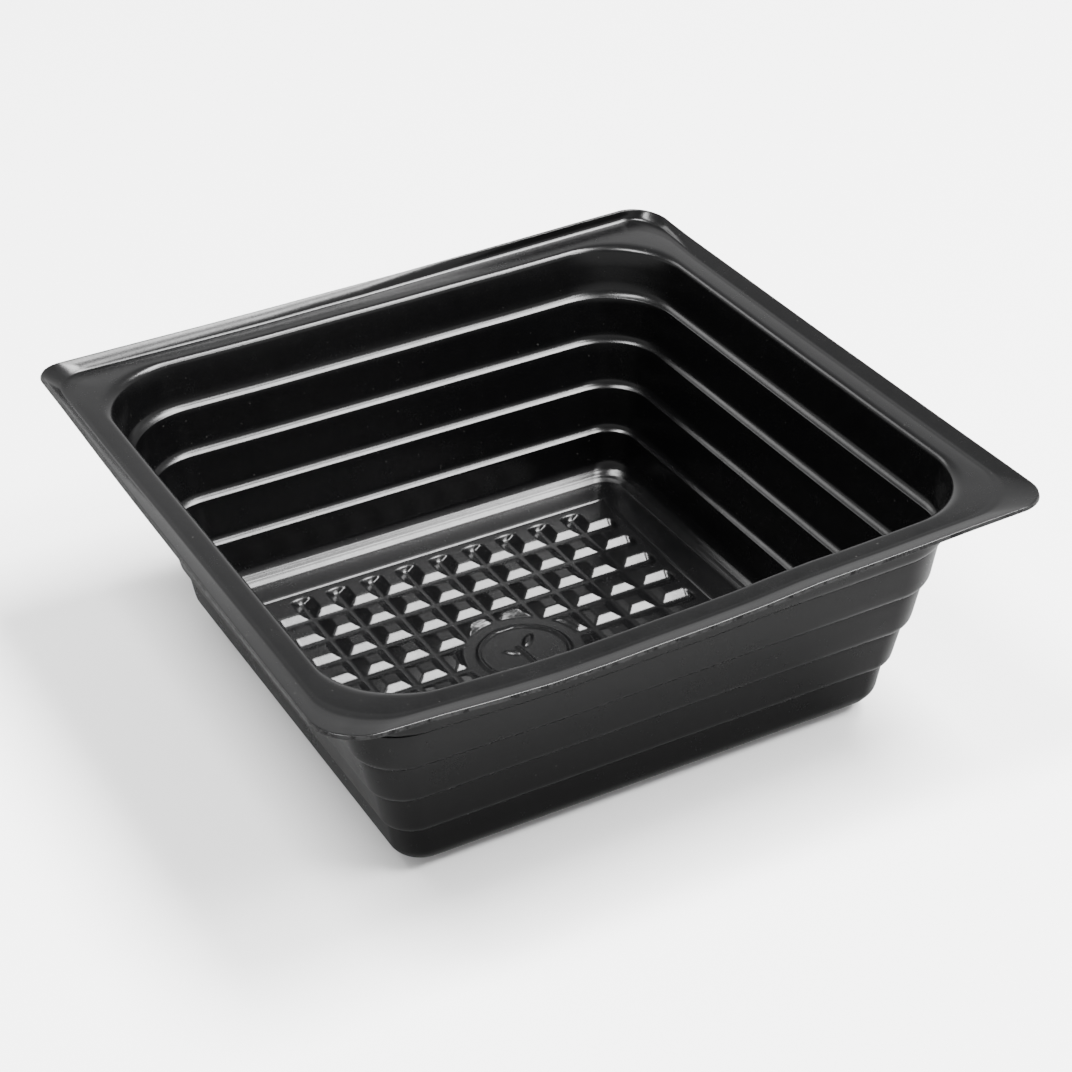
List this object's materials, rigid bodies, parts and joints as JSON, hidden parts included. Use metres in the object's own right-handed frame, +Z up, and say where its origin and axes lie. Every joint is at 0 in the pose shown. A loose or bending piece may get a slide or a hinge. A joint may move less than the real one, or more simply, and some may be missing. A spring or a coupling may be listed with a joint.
{
  "type": "seedling tray",
  "caption": "Square one-piece thermoformed plastic plant tray with a flanged rim, ledged tapering walls and a knobbed floor with a round medallion.",
  "frame": {"origin": "centre of the tray's footprint, on the plane it stands on", "axes": "+Z up, X and Y along the square rim's sides, front rim towards -Y"},
  "size_m": [0.13, 0.13, 0.0486],
  "materials": {
    "tray_plastic": "satin black thermoformed sheet"
  },
  "bodies": {
    "root": {"tray": "tray_plastic"}
  },
  "joints": []
}
